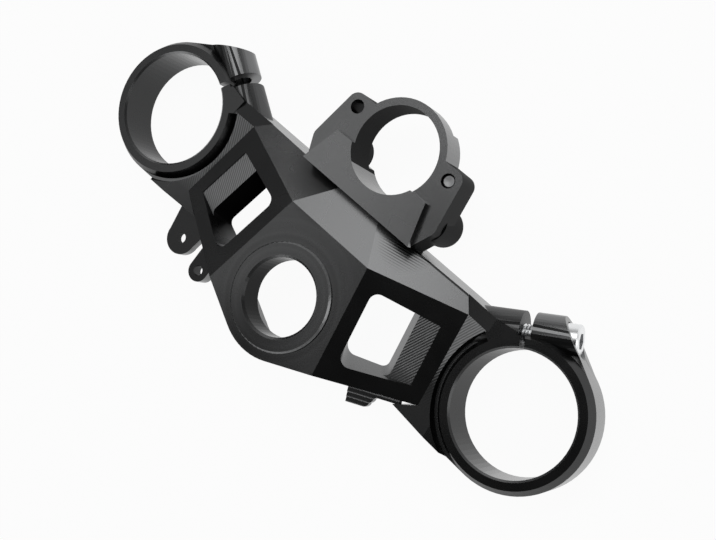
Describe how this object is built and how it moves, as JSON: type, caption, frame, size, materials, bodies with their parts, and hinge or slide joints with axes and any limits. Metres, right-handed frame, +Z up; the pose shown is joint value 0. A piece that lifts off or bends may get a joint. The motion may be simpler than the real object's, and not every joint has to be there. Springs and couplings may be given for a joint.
{
  "type": "motorcycle triple clamp",
  "caption": "Faceted billet upper fork clamp with slit fork rings, a stem hole, windows and a front holder for the ignition lock.",
  "frame": {"origin": "on the steering axis, in the plane of the underside", "axes": "+X to the rider's right, +Y to the front of the motorcycle, +Z up along the steering axis"},
  "size_m": [0.2664, 0.1253, 0.0308],
  "materials": {
    "black_anodised": "machined, satin black anodised",
    "bright_steel": "bright zinc-plated steel"
  },
  "bodies": {
    "root": {"upper_yoke": "black_anodised", "pinch_bolt": "bright_steel", "lock_screw": "bright_steel"}
  },
  "joints": []
}
